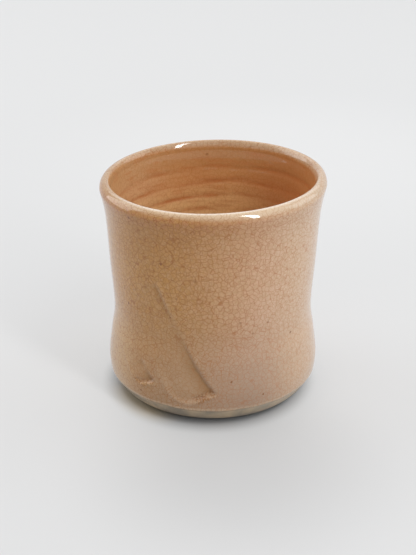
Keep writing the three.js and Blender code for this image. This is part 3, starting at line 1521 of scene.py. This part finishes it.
    def material(self, scatter: bpy.types.NodeTree) -> bpy.types.Material:
        """Builds the finish.

        Args:
            scatter: Node group of scattered specks.

        Returns:
            The material.
        """
        made = bpy.data.materials.new("crackle_glaze")
        made.use_nodes = True
        g = Graph(made.node_tree)
        shader = made.node_tree.nodes["Principled BSDF"]
        at = self.place(g)
        colour = self.wall(g, at, self.ground(g, at))
        colour = self.well(g, at, colour)
        colour = self.pressed(g, at, colour)
        colour = self.ringed_well(g, at, colour)
        colour = self.marked(g, at, colour, self.specks(g, at.spot, scatter))
        g.feed(shader.inputs["Base Color"], colour)

        swell = g.noise(at.spot, self.swell_grain) * self.swell
        pebble = g.noise(at.spot, self.pebble_grain) * self.pebble
        relief = swell + pebble - at.lines * self.crack_sink
        bump = g.node("ShaderNodeBump", Strength=self.bump_strength, Distance=self.bump_height, Height=relief)
        g.feed(shader.inputs["Normal"], g.out(bump, "Normal"))
        dulled = at.within * self.gloss_inside + g.named("shade") * self.gloss_shade
        dulled = dulled + g.named("crumb") * self.gloss_crumb
        g.feed(shader.inputs["Coat Weight"], g.clamped(1.0 - dulled))
        shader.inputs["Roughness"].default_value = self.body_roughness
        shader.inputs["Specular IOR Level"].default_value = self.body_specular
        shader.inputs["Coat Roughness"].default_value = self.gloss
        shader.inputs["Coat IOR"].default_value = self.gloss_ior
        return made

    def place(self, g: Graph) -> GlazePlace:
        """Finds a point's place on the cup.

        Args:
            g: Tree of the material.

        Returns:
            Where the point lies, and the masks that several layers read.
        """
        spot = g.out(g.node("ShaderNodeTexCoord"), "Object")
        across, depth, height = g.split(spot)
        radius = planar(g, across, depth)
        cloud = g.noise(spot, self.cloud_grain, detail=3.0) - 0.5
        facing = self.front.of(g, depth, MM)
        # Pinker and paler across to the front right: partly the glaze's own pink, partly painted light on
        # that side.
        blush_and_right_light = across * facing * self.blush_and_light_across - height * self.blush_fall + cloud * self.blush_cloud
        below = self.under_lip.of(g, height + cloud * self.lap_wander, MM)
        over = self.lip_inner.of(g, radius, MM) * below * self.lip_from.of(g, height, MM)
        lit_front = self.lip_lit_front.of(g, depth, MM)
        crackle = g.group(CrackleRule().tree(), Vector=spot, Cell=self.cell, Line=self.line)
        return GlazePlace(
            spot=spot,
            across=across,
            depth=depth,
            height=height,
            radius=radius,
            facing=facing,
            cloud=cloud,
            blush_and_right_light=self.blush_and_right_light.of(g, blush_and_right_light),
            within=g.highest(g.named("inside") * below, over),
            lit_front=lit_front,
            lip=self.lip_top.of(g, height, MM) * self.lip_share.of(lit_front),
            low=self.low.of(g, height, MM),
            mottle=self.mottle.of(g, g.noise(spot, self.mottle_grain)),
            grit=g.noise(spot, self.grit_grain, detail=1.0),
            lines=g.out(crackle, "Lines"),
            tone=g.out(crackle, "Tone"),
        )

    def ground(self, g: Graph, at: GlazePlace) -> Field:
        """Glaze from tan to pink, the pink partly painted light on the front right, with more painted light
        on that side, and its grain and mottling.

        Args:
            g: Tree of the material.
            at: Place on the cup.

        Returns:
            The colour.
        """
        grain = g.noise(at.spot, self.fine_grain)
        fine_pale = self.fine_pale.of(g, grain) * self.fine_pale_share.of(at.low)
        fine_dark = self.fine_dark.of(g, grain) * self.fine_dark_share.of(at.low)
        ochre = self.ochre_patches.of(g, g.noise(at.spot, self.ochre_grain))
        return g.layered(
            g.blended(at.blush_and_right_light, self.tan, self.pink),
            (self.lit_right_side.of(g, at.across * at.facing, MM) * self.lit_right_share, self.lit_right_cream),
            (at.mottle * self.mottle_share + at.tone * self.tone_share + fine_pale, self.pale),
            (fine_dark, self.deep),
            (ochre * self.ochre_share.of(at.blush_and_right_light), self.ochre),
        )

    def wall(self, g: Graph, at: GlazePlace, colour: Field) -> Field:
        """Lays what runs down the outside: a darker belly and lower wall, warm sides with painted light on
        the lower left edge, and a thin lip and hem, paler at the front with painted light.

        Args:
            g: Tree of the material.
            at: Place on the cup.
            colour: Colour of the glaze.

        Returns:
            The colour with these layers.
        """
        outer = 1.0 - at.within
        tanned = 1.0 - at.blush_and_right_light
        belly = self.belly_across.of(g, at.across, MM) * self.belly_share.of(at.blush_and_right_light)
        drained = self.drained.of(g, at.height, MM) * at.mottle * self.drained_share.of(at.blush_and_right_light)
        hem = self.hem.of(g, at.height, MM) * self.hem_share
        flank = self.flank.of(g, at.height, MM) * outer
        shoulder = self.shoulder.of(g, at.height, MM) * outer * self.shoulder_left.of(g, at.across, MM)
        return g.layered(
            colour,
            (self.belly.of(g, at.height, MM) * outer * belly, self.lower_dark),
            (at.low * outer * self.low_darkening, self.lower_dark),
            (at.low * outer * tanned * self.low_deep, self.deep),
            (flank * self.flank_tan.of(g, at.across, MM) * self.flank_tan_share, self.tan),
            # Painted light on the lower left edge.
            (flank * self.lit_left_edge.of(g, at.across, MM) * self.lit_left_edge_share, self.lit_honey),
            (shoulder * self.shoulder_share, self.ochre),
            (drained * outer, self.groove),
            (self.high.of(g, at.height, MM) * outer * tanned * self.high_share, self.groove),
            # The lip and the hem pale, and paler still towards the front with painted light.
            (g.highest(at.lip, hem) * outer, g.blended(at.lit_front, self.beige, self.pale)),
        )

    def well(self, g: Graph, at: GlazePlace, colour: Field) -> Field:
        """Lays the orange inside, with painted light on the left and low down and painted shade on the right
        and by the mouth.

        Args:
            g: Tree of the material.
            at: Place on the cup.
            colour: Colour of the glaze.

        Returns:
            The colour with these layers.
        """
        left = self.inside_lit_left.of(g, at.across, MM)
        return g.layered(
            colour,
            # Painted light on the left and low down, painted shade on the right and by the mouth.
            (at.within * self.inside_share.of(left), self.orange),
            (at.within * self.lit_left.of(g, at.across, MM) * self.lit_left_share, self.pale),
            (at.within * self.lit_low.of(g, at.height, MM) * self.lit_low_share, self.lit_honey),
            (at.within * self.shaded_right.of(g, at.across, MM) * self.shaded_right_share, self.groove),
            (at.within * self.mouth.of(g, at.height, MM) * self.shaded_mouth_share, self.deep),
        )

    def pressed(self, g: Graph, at: GlazePlace, colour: Field) -> Field:
        """Lays what gathers in the spatula strokes and on their burrs, and the painted shade beside their
        edges.

        Args:
            g: Tree of the material.
            at: Place on the cup.
            colour: Colour of the glaze.

        Returns:
            The colour with these layers.
        """
        crumb = g.named("crumb")
        return g.layered(
            colour,
            (g.named("pool") * self.pool_share, self.pooled),
            # Painted shade beside the stroke's edge.
            (g.named("shade") * self.shade_share, self.deep),
            (g.named("burr") * self.burr_share, self.pale),
            (crumb * self.crumb_pale.of(g, at.grit) * self.crumb_pale_share, self.pale),
            (crumb * self.crumb_deep.of(g, at.grit) * self.crumb_deep_share, self.deep),
        )

    def ringed_well(self, g: Graph, at: GlazePlace, colour: Field) -> Field:
        """Lays the reddish streaks inside, on the wall and in the finger grooves.

        Args:
            g: Tree of the material.
            at: Place on the cup.
            colour: Colour of the glaze.

        Returns:
            The colour with the streaks.
        """
        streak = g.noise(g.vector("MULTIPLY", at.spot, self.streak_stretch), self.streak_grain, detail=3.0)
        flush = at.within * self.flush.of(g, streak) * self.flush_share
        ringed = g.named("groove") * self.ringed.of(g, streak) * self.ringed_share
        return g.layered(colour, (flush, self.groove), (ringed, self.groove))

    def marked(self, g: Graph, at: GlazePlace, colour: Field, specks: Field) -> Field:
        """Lays a painted highlight on the crest of the lip, then the crack lines, the pits and the specks.

        Args:
            g: Tree of the material.
            at: Place on the cup.
            colour: Colour of the glaze.
            specks: Where the specks show.

        Returns:
            The colour with these layers.
        """
        # Painted highlight along the crest of the lip, strongest at the front.
        crest = self.crest.of(g, at.radius, MM) * (1.0 - g.named("inside"))
        crest = crest * self.crest_top.of(g, at.height, MM)
        pit = g.named("pit") * self.pit.of(g, at.grit) * self.pit_share
        return g.layered(
            colour,
            (crest * self.crest_highlight_share.of(self.crest_highlight_front.of(g, at.depth, MM)), self.crest_highlight),
            (self.cracks(g, at) * self.line_share, g.blended(at.blush_and_right_light, self.crack, self.flushed)),
            (pit, self.iron),
            (specks, self.iron),
        )

    def cracks(self, g: Graph, at: GlazePlace) -> Field:
        """How strongly the crack lines are stained, by where they are.

        Args:
            g: Tree of the material.
            at: Place on the cup.

        Returns:
            The strength of the lines.
        """
        crazed = self.crazed.of(g, at.cloud * self.crazed_cloud + at.across * at.facing * self.crazed_across)
        shown = at.lines * self.line_blush_and_light.of(at.blush_and_right_light) * self.crazed_share.of(crazed)
        shown = shown * self.line_inside.of(at.within) * self.line_pool.of(g.named("pool"))
        return shown * self.line_lip.of(at.lip) * self.line_low.of(at.low)

    def specks(self, g: Graph, place: Field, scatter: bpy.types.NodeTree) -> Field:
        """All specks of the glaze, both those listed and the scattered ones.

        Args:
            g: Tree of the material.
            place: Where they are read.
            scatter: Node group of scattered specks.

        Returns:
            How much of them shows.
        """
        tree = speck_group()
        _, shown = self.scatter.shown(g, scatter, place)
        for speck in SPECKS:
            node = g.group(tree, Vector=place, Centre=speck.centre(), Size=speck.size * MM)
            shown = g.highest(shown, g.out(node, "Mask") * speck.strength)
        return shown


@dataclass(frozen=True)
class BareClayFinish:
    """Unglazed grey-buff stoneware with sand in it and turning lines.

    Grains are in metres, and ramps over lengths are in millimetres.
    """

    buff: Colour = (0.60, 0.465, 0.315, 1.0)
    grey: Colour = (0.34, 0.285, 0.22, 1.0)
    sand: Colour = (0.66, 0.57, 0.46, 1.0)
    foot_shade: Colour = (0.16, 0.135, 0.11, 1.0)
    iron: Colour = (0.09, 0.055, 0.035, 1.0)
    stain_grain: float = 7 * MM
    stain: Ramp = Ramp(0.35, 0.68)
    sand_specks: Scatter = Scatter(1.0 * MM, 0.22 * MM, 0.35, 0.60)
    iron_specks: Scatter = Scatter(1.9 * MM, 0.18 * MM, 0.22, 0.80)
    # Painted light: sand colour laid over the right side to make it paler.
    lit_right_clay: Ramp = Ramp(4, 24)
    lit_right_clay_share: float = 0.50
    turning_pitch: float = 0.35 * MM
    turning: Ramp = Ramp(0.55, 0.35)
    turning_share: float = 0.35
    # Painted shade: the lowest edge of the clay darkened where it meets the table.
    foot: Ramp = Ramp(1.7, 1.1)
    foot_shade_share: float = 0.80
    grain: float = 0.5 * MM
    sand_rise: float = 0.4
    bump_strength: float = 0.5
    bump_height: float = 0.15 * MM
    roughness: Share = Share(0.78, 0.12)

    def material(self, scatter: bpy.types.NodeTree) -> bpy.types.Material:
        """Builds the finish.

        Args:
            scatter: Node group of scattered specks.

        Returns:
            The material.
        """
        made = bpy.data.materials.new("bare_stoneware")
        made.use_nodes = True
        g = Graph(made.node_tree)
        shader = made.node_tree.nodes["Principled BSDF"]
        place = g.out(g.node("ShaderNodeTexCoord"), "Object")
        across, _, height = g.split(place)
        sand, sand_shown = self.sand_specks.shown(g, scatter, place)
        _, iron_shown = self.iron_specks.shown(g, scatter, place)
        turned = g.noise(g.joined(0.0, 0.0, height), self.turning_pitch)
        colour = g.layered(
            g.blended(self.stain.of(g, g.noise(place, self.stain_grain, detail=4.0)), self.grey, self.buff),
            (sand_shown, self.sand),
            (iron_shown, self.iron),
            # Painted light on the right side.
            (self.lit_right_clay.of(g, across, MM) * self.lit_right_clay_share, self.sand),
            (self.turning.of(g, turned) * self.turning_share, self.grey),
            # Painted shade where the clay meets the table.
            (self.foot.of(g, height, MM) * self.foot_shade_share, self.foot_shade),
        )
        g.feed(shader.inputs["Base Color"], colour)
        grain = g.noise(place, self.grain, detail=4.0) + sand * self.sand_rise
        bump = g.node("ShaderNodeBump", Strength=self.bump_strength, Distance=self.bump_height, Height=grain)
        g.feed(shader.inputs["Normal"], g.out(bump, "Normal"))
        g.feed(shader.inputs["Roughness"], self.roughness.of(grain))
        return made


@dataclass(frozen=True)
class SoftBox:
    """A soft rectangular lamp that faces the cup.

    The azimuth runs from the front to the right and, like the elevation, is in degrees. Lengths are in
    metres and the power in watts. A lamp for gleams only shows in gloss and lights nothing else.
    """

    name: str
    azimuth: float
    elevation: float
    distance: float
    width: float
    height: float
    power: float
    target_height: float = 0.05
    gleam_only: bool = False

    def hang(self) -> None:
        """Hangs the lamp in the scene."""
        lamp = bpy.data.lights.new(self.name, "AREA")
        lamp.shape = "RECTANGLE"
        lamp.size = self.width
        lamp.size_y = self.height
        lamp.energy = self.power
        turn, rise = math.radians(self.azimuth), math.radians(self.elevation)
        away = Vector((math.sin(turn) * math.cos(rise), -math.cos(turn) * math.cos(rise), math.sin(rise)))
        hung = bpy.data.objects.new(self.name, lamp)
        hung.location = away * self.distance + Vector((0.0, 0.0, self.target_height))
        hung.rotation_euler = (math.pi / 2 - rise, 0.0, turn)
        hung.visible_diffuse = not self.gleam_only
        bpy.context.scene.collection.objects.link(hung)


@dataclass(frozen=True)
class TablePatch:
    """A round patch of the table's glow: a painted shadow where it is darker, a painted pool of light where
    it is lighter.
    """

    x: float
    y: float
    core: float
    reach: float
    share: float

    def factor(self, g: Graph, x: Field, y: Field) -> Field:
        """What the table's glow is multiplied by at a place."""
        return self.mask(g, x, y) * self.share + 1.0

    def mask(self, g: Graph, x: Field, y: Field) -> Field:
        """How far a place is inside the patch, from 0 to 1."""
        return g.ease(planar(g, x - self.x, y - self.y), self.reach, self.core)


@dataclass(frozen=True)
class Studio:
    """Pale table, soft lights and the camera."""

    # A dark table colour under a camera-seen glow, so that the contact shadow stays dark.
    table: Colour = (0.345, 0.350, 0.355, 1.0)
    bounce: Colour = (0.44, 0.375, 0.275, 1.0)
    table_half_width: float = 3.0
    table_roughness: float = 0.7
    camera_place: tuple[float, float, float] = (0.0, -0.28499, 0.16231)
    camera_pitch: float = 0.43
    camera_yaw: float = -0.0048
    focal_px: float = 1105.2
    sensor: float = 36.0
    clip_start: float = 0.01
    sky: float = 0.57
    backdrop: float = 0.78
    # The table's camera-seen glow fades out towards the foot, shifted and stretched to one side: a painted
    # contact shadow.
    near_glow: float = 0.37
    far_glow: float = 0.005
    glow_start: float = 25.6 * MM
    glow_full: float = 32.5 * MM
    glow_edge: float = 2.2 * MM
    edge_share: float = 0.18
    glow_far: float = 0.45
    glow_place: tuple[float, float] = (-1.2 * MM, -0.3 * MM)
    glow_stretch: float = 1.02
    patches: tuple[TablePatch, ...] = (
        # Painted shadow in front of the cup.
        TablePatch(7 * MM, -50 * MM, 5 * MM, 50 * MM, -0.27),
        # Painted pool of light behind the cup, to the right.
        TablePatch(32 * MM, 200 * MM, 30 * MM, 140 * MM, 0.09),
    )
    bounce_place: TablePatch = TablePatch(-20.5 * MM, -16 * MM, 4 * MM, 17 * MM, 1.0)
    lamps: tuple[SoftBox, ...] = (
        SoftBox("window", 41.0, 38.0, 1.0, 0.14, 0.85, 3.55),
        SoftBox("gleam", 41.0, 38.0, 0.98, 0.13, 0.75, 4.0, gleam_only=True),
        SoftBox("overhead", 180.0, 50.0, 1.2, 1.60, 0.90, 4.2),
        SoftBox("right", 102.0, 24.0, 0.95, 0.60, 0.60, 1.6),
        SoftBox("left", -108.0, 22.0, 1.1, 0.80, 0.90, 4.2),
    )

    def build(self) -> None:
        """Sets the table, the lights, the world and the camera."""
        self.lay_table()
        for lamp in self.lamps:
            lamp.hang()
        world = bpy.data.worlds.new("studio")
        world.use_nodes = True
        background = world.node_tree.nodes["Background"]
        background.inputs["Color"].default_value = (1.0, 1.0, 1.0, 1.0)
        g = Graph(world.node_tree)
        g.feed(background.inputs["Strength"], self.sky + self.seen(g) * (self.backdrop - self.sky))
        bpy.context.scene.world = world
        bpy.context.scene.view_settings.view_transform = "Standard"
        self.set_camera()

    @staticmethod
    def seen(g: Graph) -> Field:
        """Which rays see the backdrop.

        Args:
            g: Tree of the world or the table.

        Returns:
            1 for rays from the camera, or from it by way of a mirror or glass, and 0 for light.
        """
        path = g.node("ShaderNodeLightPath")
        rays = [g.out(path, f"Is {kind} Ray") for kind in ("Camera", "Glossy", "Transmission")]
        return g.highest(*rays)

    def lay_table(self) -> None:
        """Lays a wide pale surface under the cup, which isn't part of it, with a painted contact shadow,
        painted patches of shadow and light and a painted warm bounce.
        """
        half = self.table_half_width
        mesh = bpy.data.meshes.new("table")
        corners = [(-half, -half, 0.0), (half, -half, 0.0), (half, half, 0.0), (-half, half, 0.0)]
        mesh.from_pydata(corners, [], [(0, 1, 2, 3)])
        surface = bpy.data.materials.new("pale_table")
        surface.use_nodes = True
        shader = surface.node_tree.nodes["Principled BSDF"]
        shader.inputs["Roughness"].default_value = self.table_roughness
        g = Graph(surface.node_tree)
        x, y, _ = g.split(g.out(g.node("ShaderNodeTexCoord"), "Object"))
        # Painted contact shadow: no glow at the foot, rising outward.
        far = planar(g, (x - self.glow_place[0]) * self.glow_stretch, y - self.glow_place[1])
        edge = g.ease(far, self.glow_start, self.glow_start + self.glow_edge) * self.edge_share
        rest = g.ease(far, self.glow_start, self.glow_full) * (1.0 - self.edge_share)
        glow = (edge + rest) * self.near_glow
        glow = glow + g.ease(far, self.glow_full, self.glow_far) * self.far_glow
        for patch in self.patches:
            glow = glow * patch.factor(g, x, y)
        glow = glow * self.seen(g)
        # Painted bounce light: a warm tint on the table by the left of the foot.
        bounce = self.bounce_place.mask(g, x, y) * g.ease(far, self.glow_full, self.glow_start)
        g.feed(shader.inputs["Base Color"], g.blended(bounce, self.table, self.bounce))
        g.feed(shader.inputs["Emission Color"], g.joined(glow, glow, glow))
        shader.inputs["Emission Strength"].default_value = 1.0
        mesh.materials.append(surface)
        table = bpy.data.objects.new("table", mesh)
        bpy.context.scene.collection.objects.link(table)

    def set_camera(self) -> None:
        """The camera at the photograph's angle."""
        data = bpy.data.cameras.new("camera")
        data.sensor_width = self.sensor
        data.lens = self.focal_px / PHOTO_HEIGHT_PX * self.sensor
        data.clip_start = self.clip_start
        camera = bpy.data.objects.new("camera", data)
        camera.location = self.camera_place
        camera.rotation_euler = (math.pi / 2 - self.camera_pitch, 0.0, -self.camera_yaw)
        bpy.context.scene.collection.objects.link(camera)
        bpy.context.scene.camera = camera


def main() -> None:
    """Builds the cup piece by piece, then the studio."""
    logging.basicConfig(level=logging.INFO, format="%(name)s: %(message)s")
    section = CupSection.from_frame(Throwing.rim_slant)
    throwing = Throwing(section.rim_height, section.lip_radius, section.waist_radius, section.glaze_line)
    tree = throwing.sweep_tree()
    scatter = scatter_group()
    clay = BareClayFinish().material(scatter)
    glaze = GlazeFinish().material(scatter)
    pieces = (
        (ThrownClay("thrown_clay", "clay_body", Slot.CLAY, section, throwing), clay),
        (DippedCoat("dipped_coat", "outer_glaze", Slot.DIPPED, section, throwing), glaze),
        (PouredCoat("poured_coat", "inner_glaze", Slot.POURED, section, throwing), glaze),
    )
    for piece, material in pieces:
        piece.build(tree, material)
        piece.seat()
    Studio().build()


if __name__ == "__main__":
    main()
